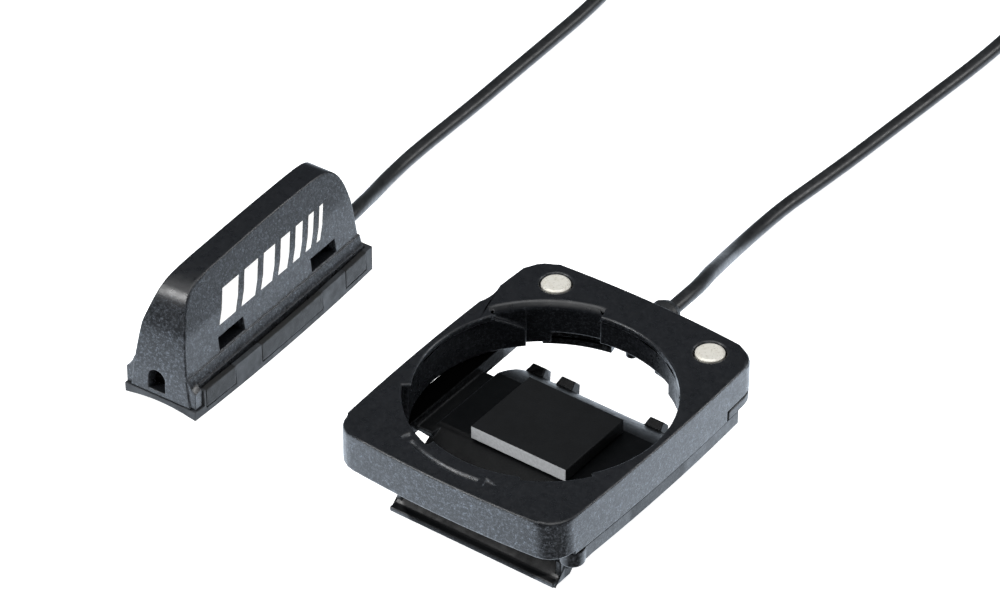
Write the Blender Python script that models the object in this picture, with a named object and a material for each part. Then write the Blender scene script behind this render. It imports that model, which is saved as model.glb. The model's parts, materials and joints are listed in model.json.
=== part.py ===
"""Wired dock kit of a cycling computer: handlebar bracket, fork speed sensor, cable.

The bracket is a rounded frame with a bayonet opening for the display unit, two
spring-loaded contact buttons, and a saddle that straddles the handlebar. The
sensor is a slim housing on a rubber foot that straddles a fork leg. One thin
cable joins them, and its spare length is wound into a coil.

World frame: metres, +Z up, floor at z = 0, bracket to the right of the sensor,
both with their cable ends towards +Y.
"""
import bmesh
import bpy
from math import acos, asin, atan2, cos, degrees, pi, radians, sin, sqrt
from mathutils import Matrix, Vector

MM = 0.001

# Clearance between pieces that meet, and reaches past any outline for cutters
GAP = 0.3
PAST_X = 20.0
PAST_Y = 26.0
PAST_SENSOR = 22.0

# Places of the two housings, and the turn of the sensor on the table
BRACKET_AT = (20.8, -1.68, 0.0)
SENSOR_AT = (-33.3, 1.72, 0.0)
SENSOR_TURN = radians(2.0)

# Bracket frame
FRAME_WIDTH = 38.3
FRAME_DEPTH = 48.2
SIDE_BOW = 0.75
END_BOW = 1.0
CORNER_RADIUS = 3.9
TOP = 16.9
FRAME_BOTTOM = 10.3
FRONT_BOTTOM = 10.9
REAR_BOTTOM = 12.0
REAR_PART_Y = 15.5
FRONT_PART_Y = -19.4
CORE_OUT = ((8.0, -23.1), (16.0, -21.3), (17.1, -13.2), (15.2, -13.4))
EDGE_ROUND = 0.6
PLATE = 1.5
COVER_RIB = 8.8
COVER_OPENING = 20.6
NOTCH_RADIUS = 6.0
NOTCH_AT = (-24.5, 12.6)
RIB_SPANS = ((57.0, 80.0), (100.0, 127.0))
RIB_RADII = (20.8, 22.0)
LOCATING_PEG = (-1.2, 21.3)
LOCATING_PEG_RADIUS = 0.85

# Bayonet opening
OPENING_Y = -0.65
OPENING_RADIUS = 18.1
UNDERCUT_RADIUS = 18.45
LIP = 1.0
LUG_RADIUS = 19.3
LUG_CHAMFER_RADIUS = 20.2
LUG_CHAMFER_DEPTH = 0.8
LUG_CUTS = ((102.0, 134.0, LUG_RADIUS), (211.5, 251.5, LUG_RADIUS), (296.0, 326.0, 18.8))
RAMP_START = 148.0
RAMP_END = 134.0
RAMP_DROP = 2.7

# Spring-loaded contacts
CONTACT_X = 12.9
CONTACT_Y = 19.6
BUTTON_RADIUS = 2.08
BUTTON_HOLE = 2.36
BUTTON_PROUD = 0.15
COLLAR_RADIUS = 2.7
POCKET_RADIUS = 3.15
CONTACT_FLOOR = 10.9

# Cable outlet and wire channel of the bracket
GLAND_X = 1.0
GLAND_Z = 13.8
GLAND_NECK = 1.4
GLAND_HEAD = 2.3
GLAND_END = 27.45
CHANNEL = (20.4, 22.8)
WIRE_RADIUS = 0.35

# Handlebar saddle
BAR_RADIUS = 15.9
SADDLE_OUTER = 20.0
SADDLE_INNER = 17.6
LINER_OUTER = 17.3
SADDLE_AXIS = (0.65, -10.1)
SADDLE_LENGTH = 27.4
SADDLE_FOOT = 0.6
FLARE_ANGLE = 45.0
LIP_REACH = 18.0
LIP_TOP = 1.35
LINER_LENGTH = 23.0
GUSSET_REACH = 16.35
GUSSET_TOP = 4.0
PLATEAU = 8.8
RAIL_TOP = 10.0
RAIL_BOTTOM = 7.7
RAIL_INNER = 15.7
RAIL_INSET = 0.35
RAIL_Y = (-17.5, 18.9)
WEB_Y = (-8.4, 6.6)
KNOB_RADIUS = 1.75
KNOB_AT = (16.95, -17.6)
HOOK_X = (-12.4, -7.45, 7.45, 12.4)
HOOK_ANGLE = 44.0

# Centre pad
PAD_SIZE = (15.8, 13.4, 2.05)
PEG_RADIUS = 2.0

# Sensor
BASE_HALF_WIDTH = 6.45
BASE_HALF_LENGTH = 20.9
BASE_PINCH = 0.5
BASE_HEIGHT = 3.9
RIM = 0.5
RECESS = 3.1
PLATE_HALF = 4.0
PLATE_V = (-18.4, 19.1)
PLATE_Z = (1.7, 2.9)
ABOVE_FOOT = 6.0
TAB_V = ((-18.4, -12.2), (-5.9, 8.2), (14.3, 19.2))
SKIRT_BOTTOM = 3.4
NEAR_BOTTOM = 1.65
NEAR_WALL = -19.2
BODY_CREST = (
    (-20.75, 6.0), (-20.4, 8.5), (-20.0, 11.0), (-19.45, 13.0), (-18.5, 15.0), (-17.3, 16.9),
    (-15.4, 18.2), (-12.0, 18.75), (-6.0, 18.95), (1.0, 19.1), (8.0, 19.1), (13.5, 18.95),
    (16.3, 18.35), (18.0, 17.0), (19.0, 14.8), (19.5, 11.5), (19.75, 8.0))
SKIRT = ((5.3, SKIRT_BOTTOM + 0.02), (5.3, 4.55), (5.12, 4.8), (4.95, 5.2), (4.7, 6.2))
SKIRT_V = (-20.6, 19.95)
WING = ((5.93, NEAR_BOTTOM + 0.03), (5.93, 4.3), (5.5, 4.62), (5.15, 5.0), (4.9, 5.6), (4.5, 6.6))
WING_V = (-20.64, NEAR_WALL - 0.03)
EDGE_RADIUS = 0.75
FLANK_HALF = 4.88
FLANK_LEAN = 0.13
UPPER_LEAN = 0.27
CREASE = 12.3
SLOT_V = (-10.0, 11.7)
SLOT_SIZE = (5.8, 2.2)
SLOT_HEIGHT = 7.5
DRAIN = (-0.6, 4.35, 1.45)
SENSOR_GLAND_Z = 4.95
REED_Z = 12.6

# Cable
CABLE_RADIUS = 1.1
COIL_AT = (-26.98, 138.0)
COIL_MEAN = 12.0
COIL_SECTION = (9.45, 4.65)
COIL_LIFT = 0.85
TIE_THICKNESS = 0.45
TIE_WIDTH = 4.0
BRACKET_ROUTE = (
    (21.8, 26.07, 13.8), (21.7, 29.27, 13.7), (21.15, 33.27, 13.0), (19.55, 38.27, 11.3),
    (17.45, 43.77, 8.6), (15.15, 49.27, 5.6), (13.15, 55.27, 3.0), (11.95, 61.77, 1.5),
    (11.75, 68.27, 1.13), (12.35, 76.07, 1.13), (12.95, 84.07, 1.13), (13.45, 93.07, 1.13),
    (14.05, 104.07, 1.13), (14.55, 114.07, 1.13), (14.65, 122.5, 1.13), (14.2, 131.5, 1.13),
    (11.6, 140.6, 1.13), (6.0, 148.2, 1.13), (-2.0, 152.6, 1.2), (-10.5, 153.53, 1.7),
    (-17.3, 153.53, 2.0))
SENSOR_ROUTE = (
    (-34.1, 23.57, 4.95), (-34.25, 26.27, 4.85), (-35.15, 29.87, 4.1), (-36.65, 34.27, 2.6),
    (-37.95, 38.77, 1.6), (-38.75, 43.57, 1.13), (-39.05, 49.07, 1.13), (-39.15, 56.07, 1.13),
    (-39.25, 63.07, 1.13), (-39.55, 72.07, 1.13), (-39.85, 82.07, 1.13), (-40.2, 91.0, 1.13),
    (-41.0, 99.5, 1.13), (-41.8, 107.0, 1.6), (-42.25, 114.5, 3.2), (-42.45, 121.5, 5.4),
    (-42.5, 127.5, 6.8), (-42.5, 133.0, 6.95), (-42.5, 138.0, 6.95))


def clear_scene():
    for old in list(bpy.data.objects):
        bpy.data.objects.remove(old)


def material(name, colour, roughness, metallic=0.0):
    """A plain Principled material."""
    found = bpy.data.materials.new(name)
    found.use_nodes = True
    shader = found.node_tree.nodes["Principled BSDF"]
    shader.inputs["Base Color"].default_value = (*colour, 1.0)
    shader.inputs["Roughness"].default_value = roughness
    shader.inputs["Metallic"].default_value = metallic
    return found


def origin(name, place, turn=0.0):
    """An empty that carries one housing."""
    empty = bpy.data.objects.new(name, None)
    bpy.context.collection.objects.link(empty)
    empty.location = Vector(place) * MM
    empty.rotation_euler.z = turn
    return empty


def add(name, mesh, finish, parent=None, place=(0.0, 0.0, 0.0), angle=radians(35)):
    """Links a mesh as the object of one sub-part, placed by its location."""
    piece = bpy.data.objects.new(name, mesh)
    bpy.context.collection.objects.link(piece)
    piece.parent = parent
    piece.location = Vector(place) * MM
    if finish:
        mesh.materials.append(finish)
    mesh.shade_smooth()
    mesh.set_sharp_from_angle(angle=angle)
    return piece


def to_mesh(name, bm):
    """Closes a bmesh, given in millimetres, into a mesh in metres."""
    bmesh.ops.recalc_face_normals(bm, faces=bm.faces)
    bmesh.ops.scale(bm, vec=(MM, MM, MM), verts=bm.verts)
    mesh = bpy.data.meshes.new(name)
    bm.to_mesh(mesh)
    bm.free()
    return mesh


def prism(outline, low, high, axes="XYZ"):
    """A bmesh of an outline extruded between two levels along the third axis."""
    order = {"XYZ": (0, 1, 2), "YZX": (2, 0, 1), "XZY": (0, 2, 1)}[axes]
    bm = bmesh.new()
    rings = []
    for level in (low, high):
        raw = [(a, b, level) for a, b in outline]
        rings.append([bm.verts.new([point[i] for i in order]) for point in raw])
    count = len(outline)
    for i in range(count):
        j = (i + 1) % count
        bm.faces.new((rings[0][i], rings[0][j], rings[1][j], rings[1][i]))
    bm.faces.new(rings[0][::-1])
    bm.faces.new(rings[1])
    return bm


def turned(profile, steps, along="Z"):
    """A bmesh of a profile of (radius, height) turned about its axis."""
    bm = bmesh.new()
    rings = []
    for radius, height in profile:
        if radius == 0.0:
            rings.append([bm.verts.new((0.0, 0.0, height))])
            continue
        turn = [2 * pi * i / steps for i in range(steps)]
        rings.append([bm.verts.new((radius * cos(t), radius * sin(t), height)) for t in turn])
    pairs = list(zip(rings, rings[1:]))
    if profile[0][0] > 0.0 and profile[-1][0] > 0.0:
        pairs.append((rings[-1], rings[0]))
    for one, two in pairs:
        for i in range(steps):
            j = (i + 1) % steps
            corners = [one[i % len(one)], one[j % len(one)], two[j % len(two)], two[i % len(two)]]
            bm.faces.new(list(dict.fromkeys(corners)))
    if along == "Y":
        bmesh.ops.rotate(bm, cent=(0, 0, 0), matrix=Matrix.Rotation(-pi / 2, 3, "X"), verts=bm.verts)
    return bm


def block(x, y, z):
    """A bmesh box between (low, high) pairs."""
    return prism([(x[0], y[0]), (x[1], y[0]), (x[1], y[1]), (x[0], y[1])], z[0], z[1])


def arc(radius, start, end, steps, centre=(0.0, 0.0)):
    """Points of an arc, angles in degrees."""
    turns = [radians(start + (end - start) * i / steps) for i in range(steps + 1)]
    return [(centre[0] + radius * cos(t), centre[1] + radius * sin(t)) for t in turns]


def sector(inner, outer, start, end, steps, centre):
    """Outline of a ring sector."""
    return arc(inner, start, end, steps, centre) + arc(outer, end, start, steps, centre)


def boolean(piece, bm, name, operation="DIFFERENCE"):
    """Keeps a Boolean modifier on the piece, with its hidden cutter."""
    cutter = bpy.data.objects.new(f"{operation.lower()}_{name}", to_mesh(name, bm))
    bpy.context.collection.objects.link(cutter)
    cutter.parent = piece.parent
    cutter.hide_render = True
    cutter.display_type = "WIRE"
    step = piece.modifiers.new(name, "BOOLEAN")
    step.operation = operation
    step.solver = "EXACT"
    step.object = cutter


def bowed_outline(half_x, half_y, bow_x, bow_y, radius, side_steps=6, corner_steps=5):
    """A rounded rectangle whose four sides bulge, as points in X and Y."""
    def right(y):
        return Vector((half_x - bow_x * (y / half_y) ** 2, y)), Vector((1.0, 2 * bow_x * y / half_y ** 2))

    def rear(x):
        return Vector((x, half_y - bow_y * (x / half_x) ** 2)), Vector((2 * bow_y * x / half_x ** 2, 1.0))

    y, x = half_y - radius, half_x - radius
    for _ in range(20):
        on_right, out_right = right(y)
        on_rear, out_rear = rear(x)
        centre = Vector(((on_right - radius * out_right.normalized()).x,
                         (on_rear - radius * out_rear.normalized()).y))
        y = centre.y + radius * out_right.normalized().y
        x = centre.x + radius * out_rear.normalized().x
    start = atan2(out_right.y, out_right.x)
    end = atan2(out_rear.y, out_rear.x)
    quarter = [tuple(right(y * i / side_steps)[0]) for i in range(side_steps)]
    for i in range(corner_steps + 1):
        turn = start + (end - start) * i / corner_steps
        quarter.append((centre.x + radius * cos(turn), centre.y + radius * sin(turn)))
    quarter += [tuple(rear(x * (1 - i / side_steps))[0]) for i in range(1, side_steps + 1)]
    mirrored = [(-a, b) for a, b in reversed(quarter[:-1])]
    upper = quarter + mirrored
    return upper + [(-a, -b) for a, b in upper[1:-1]]


def frame_prism(low, high, inset=0.0, edge=0.0):
    """The bracket's outline as a prism, with an optional rounded top edge."""
    outline = bowed_outline(FRAME_WIDTH / 2 - inset, FRAME_DEPTH / 2 - inset, SIDE_BOW, END_BOW,
                            CORNER_RADIUS - inset)
    bm = prism(outline, low, high)
    if edge:
        rim = [e for e in bm.edges if min(v.co.z for v in e.verts) > high - 1e-4]
        bmesh.ops.bevel(bm, geom=rim, offset=edge, offset_type="OFFSET",
                        segments=2, profile=0.5, affect="EDGES")
    return bm


def disc(radius, low, high, x=0.0, y=0.0, steps=32):
    """A bmesh of an upright cylinder."""
    return prism(arc(radius, 0, 360 - 360 / steps, steps - 1, (x, y)), low, high)


def ramp_cutter():
    """Clears the space above the bayonet ramp, a flat facet that runs down from the lip."""
    centre = (0.0, OPENING_Y)
    bm = prism(sector(15.0, LUG_RADIUS - 0.05, RAMP_START, RAMP_END - 0.6, 6, centre), 0.0, TOP + 1.0)
    start = Vector(arc(LUG_RADIUS, RAMP_START, RAMP_START, 1, centre)[0])
    end = Vector(arc(LUG_RADIUS, RAMP_END, RAMP_END, 1, centre)[0])
    for vert in bm.verts:
        if vert.co.z < 1.0:
            along = (vert.co.xy - start).dot(end - start) / (end - start).length_squared
            vert.co.z = TOP - LIP + 0.05 - RAMP_DROP * along
    return bm


def lug_chamfer(steps=14):
    """The sloped lead-in around the mouth of the rear lug cut."""
    bm = bmesh.new()
    rows = []
    start, end = LUG_CUTS[0][0] - 0.7, RAMP_START + 0.9
    low, high = TOP - LUG_CHAMFER_DEPTH, TOP + 0.5
    wide = LUG_RADIUS + (LUG_CHAMFER_RADIUS - LUG_RADIUS) * (high - low) / LUG_CHAMFER_DEPTH
    for i in range(steps + 1):
        turn = radians(start + (end - start) * i / steps)
        section = ((15.0, low), (LUG_RADIUS - 0.07, low), (wide, high), (15.0, high))
        rows.append([bm.verts.new((r * cos(turn), OPENING_Y + r * sin(turn), z)) for r, z in section])
    for one, two in zip(rows, rows[1:]):
        for i in range(4):
            j = (i + 1) % 4
            bm.faces.new((one[i], one[j], two[j], two[i]))
    bm.faces.new(rows[0][::-1])
    bm.faces.new(rows[-1])
    return bm


def turn_arrow():
    """Outlines of the engraved turn-to-lock arrow on the front margin."""
    centre = (0.0, OPENING_Y)
    shaft = sector(20.45, 20.95, 247.0, 281.0, 12, centre)
    head = arc(19.9, 283.5, 283.5, 1, centre)[:1] + arc(21.5, 283.5, 283.5, 1, centre)[:1]
    tip = arc(20.7, 288.0, 288.0, 1, centre)[:1]
    tail = sector(20.1, 21.3, 242.5, 244.0, 2, centre)
    return shaft, head + tip, tail


def make_frame(parent, finish):
    """The moulded bracket frame."""
    centre = (0.0, OPENING_Y)
    mesh = to_mesh("bracket_frame", frame_prism(FRAME_BOTTOM, TOP, edge=EDGE_ROUND))
    piece = add("bracket_frame", mesh, finish, parent)
    below, above = FRAME_BOTTOM - 1.0, TOP + 1.0
    boolean(piece, disc(OPENING_RADIUS, below, above, y=OPENING_Y, steps=72), "opening")
    boolean(piece, disc(UNDERCUT_RADIUS, below, TOP - LIP, y=OPENING_Y, steps=72), "undercut")
    for k, (start, end, radius) in enumerate(LUG_CUTS):
        boolean(piece, prism(sector(15.0, radius, start, end, 10, centre), below, above), f"lug_cut_{k}")
    boolean(piece, ramp_cutter(), "lug_ramp")
    boolean(piece, lug_chamfer(), "lug_chamfer")
    boolean(piece, block((-PAST_X, PAST_X), (REAR_PART_Y, PAST_Y), (below, REAR_BOTTOM)), "rear_part")
    boolean(piece, block((-PAST_X, PAST_X), (-PAST_Y, FRONT_PART_Y), (below, FRONT_BOTTOM)), "front_part")
    boolean(piece, disc(NOTCH_RADIUS, below, above, *NOTCH_AT, 40), "thumb_notch")
    for side, name in ((-1, "left"), (1, "right")):
        x = side * CONTACT_X
        boolean(piece, disc(BUTTON_HOLE, below, above, x, CONTACT_Y, 28), f"button_hole_{name}")
        boolean(piece, disc(POCKET_RADIUS, below, TOP - PLATE, x, CONTACT_Y, 28), f"pocket_{name}")
    boolean(piece, block((-CONTACT_X, CONTACT_X), CHANNEL, (below, TOP - PLATE - 0.6)), "channel")
    outlet = [(GLAND_X + a, b) for a, b in arc(GLAND_NECK + 0.3, 0, 180, 10, (0.0, GLAND_Z))]
    outlet += [(GLAND_X - GLAND_NECK - 0.3, below), (GLAND_X + GLAND_NECK + 0.3, below)]
    boolean(piece, prism(outlet, CHANNEL[0], PAST_Y, "XZY"), "cable_outlet")
    for side in (-1, 1):
        pocket = prism([(side * x, y) for x, y in CORE_OUT], below, TOP - PLATE)
        boolean(piece, pocket, f"core_out_{'left' if side < 0 else 'right'}")
    for k, outline in enumerate(turn_arrow()):
        boolean(piece, prism(outline, TOP - 0.3, TOP + 0.5), f"arrow_{k}")
    return piece


def make_rear_cover(parent, finish):
    """The cover that closes the contact chamber from below."""
    mesh = to_mesh("rear_cover", frame_prism(FRAME_BOTTOM, REAR_BOTTOM - GAP, inset=0.05))
    piece = add("rear_cover", mesh, finish, parent)
    below, above = FRAME_BOTTOM - 1.0, TOP
    boolean(piece, block((-PAST_X, PAST_X), (-PAST_Y, REAR_PART_Y + GAP), (below, above)), "cover_front")
    boolean(piece, disc(COVER_OPENING, below, above, y=OPENING_Y, steps=72), "cover_opening")
    boolean(piece, disc(NOTCH_RADIUS + 0.1, below, above, *NOTCH_AT, 40), "cover_notch")
    for side, name in ((-1, "left"), (1, "right")):
        well = disc(POCKET_RADIUS - 0.2, CONTACT_FLOOR, above, side * CONTACT_X, CONTACT_Y, 28)
        boolean(piece, well, f"contact_well_{name}")
    for k, (start, end) in enumerate(RIB_SPANS):
        rib = prism(sector(*RIB_RADII, start, end, 8, (0.0, OPENING_Y)), COVER_RIB, FRAME_BOTTOM + 0.5)
        boolean(piece, rib, f"cover_rib_{k}", "UNION")
    peg = disc(LOCATING_PEG_RADIUS, COVER_RIB - 0.1, FRAME_BOTTOM + 0.5, *LOCATING_PEG, 20)
    boolean(piece, peg, "locating_peg", "UNION")
    return piece


def saddle_outline(steps=24):
    """Outline of the saddle in Y and Z: an arch over the handlebar whose front foot flares out straight."""
    y, z = SADDLE_AXIS
    flare = 90 + FLARE_ANGLE
    outer = arc(SADDLE_OUTER, degrees(asin((SADDLE_FOOT - z) / SADDLE_OUTER)), flare, steps, (y, z))
    inner = arc(SADDLE_INNER, flare, degrees(asin((SADDLE_FOOT - z) / SADDLE_INNER)), steps, (y, z))
    outer_foot = outer[-1][0] - (outer[-1][1] - SADDLE_FOOT)
    inner_foot = inner[0][0] - (inner[0][1] - SADDLE_FOOT)
    return outer + [(outer_foot, SADDLE_FOOT), (inner_foot, SADDLE_FOOT)] + inner


def liner_outline(steps=20):
    """Outline of the liner in Y and Z: a half shell that ends level on the table."""
    y, z = SADDLE_AXIS
    open_outer = degrees(acos(-z / LINER_OUTER))
    open_inner = degrees(acos(-z / BAR_RADIUS))
    return (arc(LINER_OUTER, 90 - open_outer, 90 + open_outer, steps, (y, z))
            + arc(BAR_RADIUS, 90 + open_inner, 90 - open_inner, steps, (y, z)))


def saddle_foot_parts():
    """The lip along the flared front foot and the gussets at its two ends."""
    y = SADDLE_AXIS[0]
    half = SADDLE_LENGTH / 2 - 0.03
    blocks = [block((-half, half), (y - LIP_REACH, y - LIP_REACH + 1.2), (SADDLE_FOOT + 0.02, LIP_TOP))]
    for end in (-1, 1):
        x = sorted((end * (half - 0.02), end * (half - 0.8)))
        blocks.append(block(x, (y - GUSSET_REACH, y - GUSSET_REACH + 2.1), (LIP_TOP - 0.2, GUSSET_TOP)))
    return blocks


def hook(x, side):
    """A tie hook: a tapered tab that stands off the saddle's flank."""
    bm = bmesh.new()
    y, z = SADDLE_AXIS
    angle = radians(HOOK_ANGLE if side > 0 else 180 - HOOK_ANGLE)
    out = Vector((0, cos(angle), sin(angle)))
    along = Vector((0, -sin(angle), cos(angle))) * (1 if side > 0 else -1)
    centre = Vector((x, y, z))
    rings = []
    for radius, half_x, low, high in ((SADDLE_OUTER - 1.0, 1.55, -1.6, 1.6),
                                      (SADDLE_OUTER + 1.3, 1.1, -0.7, 1.2)):
        rings.append([bm.verts.new(centre + out * radius + Vector((dx * half_x, 0, 0)) + along * t)
                      for dx, t in ((-1, low), (1, low), (1, high), (-1, high))])
    for i in range(4):
        j = (i + 1) % 4
        bm.faces.new((rings[0][i], rings[0][j], rings[1][j], rings[1][i]))
    bm.faces.new(rings[0][::-1])
    bm.faces.new(rings[1])
    return bm


def make_saddle(parent, finish):
    """The lower moulding: two rails under the frame and the handlebar saddle."""
    half = SADDLE_LENGTH / 2
    mesh = to_mesh("handlebar_saddle", prism(saddle_outline(), -half, half, "YZX"))
    piece = add("handlebar_saddle", mesh, finish, parent)
    boolean(piece, block((-15, 15), (-8, 9), (PLATEAU, PLATEAU + 3)), "plateau")
    rails = frame_prism(RAIL_BOTTOM, RAIL_TOP, inset=RAIL_INSET)
    outline_cut = block((-PAST_X, PAST_X), (-PAST_Y, RAIL_Y[0]), (0, TOP))
    ring = bpy.data.objects.new("union_rails", to_mesh("rails", rails))
    bpy.context.collection.objects.link(ring)
    ring.parent = parent
    ring.hide_render = True
    ring.display_type = "WIRE"
    boolean(ring, outline_cut, "rail_front")
    boolean(ring, block((-PAST_X, PAST_X), (RAIL_Y[1], PAST_Y), (0, TOP)), "rail_rear")
    boolean(ring, block((-RAIL_INNER, RAIL_INNER), (-PAST_Y, PAST_Y), (0, TOP)), "rail_inner")
    for side, name in ((-1, "left"), (1, "right")):
        web = block(sorted((side * (half - 0.6), side * (RAIL_INNER + 0.8))), WEB_Y,
                    (RAIL_BOTTOM + 0.05, PLATEAU - 0.3))
        boolean(piece, web, f"web_{name}", "UNION")
    step = piece.modifiers.new("rails", "BOOLEAN")
    step.operation = "UNION"
    step.solver = "EXACT"
    step.object = ring
    for side, name in ((-1, "front"), (1, "rear")):
        for k, x in enumerate(HOOK_X):
            boolean(piece, hook(x, side), f"hook_{name}_{k}", "UNION")
    for k, part in enumerate(saddle_foot_parts()):
        boolean(piece, part, f"foot_{k}", "UNION")
    for side, name in ((-1, "left"), (1, "right")):
        knob = disc(KNOB_RADIUS, RAIL_BOTTOM - 0.2, RAIL_TOP - 0.1, side * KNOB_AT[0], KNOB_AT[1], 28)
        boolean(piece, knob, f"rail_end_{name}", "UNION")
    boolean(piece, disc(PEG_RADIUS + 0.3, 5.0, PLATEAU + 1.0, y=0.4, steps=24), "peg_hole")
    return piece


def make_liner(parent, finish):
    """The rubber liner between saddle and handlebar."""
    half = LINER_LENGTH / 2
    mesh = to_mesh("saddle_liner", prism(liner_outline(), -half, half, "YZX"))
    return add("saddle_liner", mesh, finish, parent)


def make_pad(parent, finish):
    """The square block in the middle, pressed into the saddle with a peg."""
    wide, deep, high = PAD_SIZE
    low = PLATEAU + 0.3
    mesh = to_mesh("centre_pad", block((-wide / 2, wide / 2), (-deep / 2, deep / 2), (low, low + high)))
    piece = add("centre_pad", mesh, finish, parent)
    boolean(piece, disc(PEG_RADIUS, 7.7, low + 0.5, y=0.4, steps=24), "peg", "UNION")
    return piece


def make_contact(side, name, parent, metal, rubber, brass):
    """One spring-loaded contact: button, seal, spring and terminal."""
    place = (side * CONTACT_X, CONTACT_Y, 0.0)
    top = TOP + BUTTON_PROUD
    profile = [(0, top), (1.75, top), (BUTTON_RADIUS, top - 0.2), (BUTTON_RADIUS, 14.75),
               (COLLAR_RADIUS, 14.75), (COLLAR_RADIUS, 14.3), (0.8, 14.3), (0.8, 12.4), (0, 12.4)]
    add(f"contact_button_{name}", to_mesh("button", turned(profile, 28)), metal, parent, place)
    ring = [(2.35, 14.9), (2.95, 14.9), (2.95, 15.25), (2.35, 15.25)]
    add(f"contact_seal_{name}", to_mesh("seal", turned(ring, 28)), rubber, parent, place)
    cup = [(0, 11.55), (2.5, 11.55), (2.5, 11.2), (0, 11.2)]
    add(f"contact_terminal_{name}", to_mesh("terminal", turned(cup, 24)), brass, parent, place)
    spring_points = []
    count = 36
    for i in range(count + 1):
        t = i / count
        turn = 2 * pi * 3.25 * t
        spring_points.append((1.45 * cos(turn), 1.45 * sin(turn), 12.0 + 1.85 * t))
    tube(f"contact_spring_{name}", spring_points, 0.15, brass, parent, place, resolution=1)


def tube(name, points, radius, finish, parent=None, place=(0.0, 0.0, 0.0), resolution=2):
    """A round wire or cable along a list of points in millimetres."""
    curve = bpy.data.curves.new(name, "CURVE")
    curve.dimensions = "3D"
    curve.bevel_depth = radius * MM
    curve.bevel_resolution = resolution
    curve.use_fill_caps = True
    spline = curve.splines.new("POLY")
    spline.points.add(len(points) - 1)
    for target, point in zip(spline.points, points):
        target.co = (*(Vector(point) * MM), 1.0)
    curve.materials.append(finish)
    piece = bpy.data.objects.new(name, curve)
    bpy.context.collection.objects.link(piece)
    piece.parent = parent
    piece.location = Vector(place) * MM
    return piece


def catmull(marks, steps):
    """Points along a Catmull-Rom curve through the marks."""
    marks = [2 * marks[0] - marks[1]] + marks + [2 * marks[-1] - marks[-2]]
    fine = []
    for a, b, c, d in zip(marks, marks[1:], marks[2:], marks[3:]):
        for i in range(steps):
            t = i / steps
            fine.append(0.5 * (2 * b + (c - a) * t + (2 * a - 5 * b + 4 * c - d) * t * t
                               + (3 * b - a - 3 * c + d) * t ** 3))
    fine.append(marks[-2])
    return fine


def smooth_path(points, spacing):
    """Even points along the smooth curve through the route's own points, on or above the table."""
    fine = catmull([Vector(p) for p in points], 24)
    length = sum((q - p).length for p, q in zip(fine, fine[1:]))
    count = round(length / spacing)
    even, run, target = [fine[0]], 0.0, length / count
    for p, q in zip(fine, fine[1:]):
        step = (q - p).length
        while run + step >= target and len(even) < count:
            even.append(p.lerp(q, (target - run) / step))
            target += length / count
        run += step
    even.append(fine[-1])
    for point in even:
        point.z = max(point.z, CABLE_RADIUS + 0.03)
    return even


def make_bracket_wires(parent, finishes):
    """Two insulated wires from the gland to the contact terminals."""
    for side, name, offset in ((-1, "left", -0.5), (1, "right", 0.5)):
        x = side * CONTACT_X
        points = [(GLAND_X + offset, 21.95, 13.5), (GLAND_X + offset + side * 0.3, 21.75, 13.5),
                  (GLAND_X + offset + side * 1.0, 21.6, 13.4), (side * 4.5, 21.7, 13.2),
                  (side * 7.5, 21.6, 13.0), (x - side * 3.2, 21.3, 12.9), (x - side * 2.35, 20.9, 12.6),
                  (x - side * 1.95, 20.6, 12.2), (x - side * 1.8, 20.5, 11.85)]
        tube(f"bracket_wire_{name}", points, WIRE_RADIUS, finishes[name], parent)


def make_gland(parent, finish):
    """The strain relief where the cable leaves the bracket."""
    profile = [(0, 22.35), (GLAND_NECK, 22.35), (GLAND_NECK, 24.4), (GLAND_HEAD, 24.4),
               (GLAND_HEAD, 26.2), (1.75, GLAND_END - 0.25), (1.5, GLAND_END), (0, GLAND_END)]
    mesh = to_mesh("bracket_gland", turned(profile, 28, "Y"))
    return add("bracket_gland", mesh, finish, parent, (GLAND_X, 0.0, GLAND_Z))


def boat_outline(inset=0.0, steps=10):
    """The sensor foot in plan: bowed flanks and blunt ends."""
    right = []
    for i in range(steps + 1):
        t = -1 + 2 * i / steps
        right.append((BASE_HALF_WIDTH - inset - BASE_PINCH * t * t, (BASE_HALF_LENGTH - inset) * t))
    return right + [(-x, y) for x, y in reversed(right)]


def underside_arch(low_v, high_v):
    """The concave underside that sits on the round fork leg."""
    radius = 24.0
    rise = 0.75
    centre = rise - radius
    half = sqrt(radius ** 2 - centre ** 2)
    opening = degrees(acos(half / radius))
    outline = arc(radius, opening, 180 - opening, 12, (0.0, centre))
    return prism(outline + [(-half, -1.0), (half, -1.0)], low_v, high_v, "XZY")


def tab_blocks(grow):
    """The plate's tabs that show between the rubber teeth."""
    blocks = []
    for side in (-1, 1):
        for start, end in TAB_V:
            x = sorted((side * (3.0 - grow), side * (BASE_HALF_WIDTH + 1.0)))
            blocks.append(block(x, (start - grow, end + grow), (1.1 - grow, BASE_HEIGHT + grow)))
    return blocks


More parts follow.
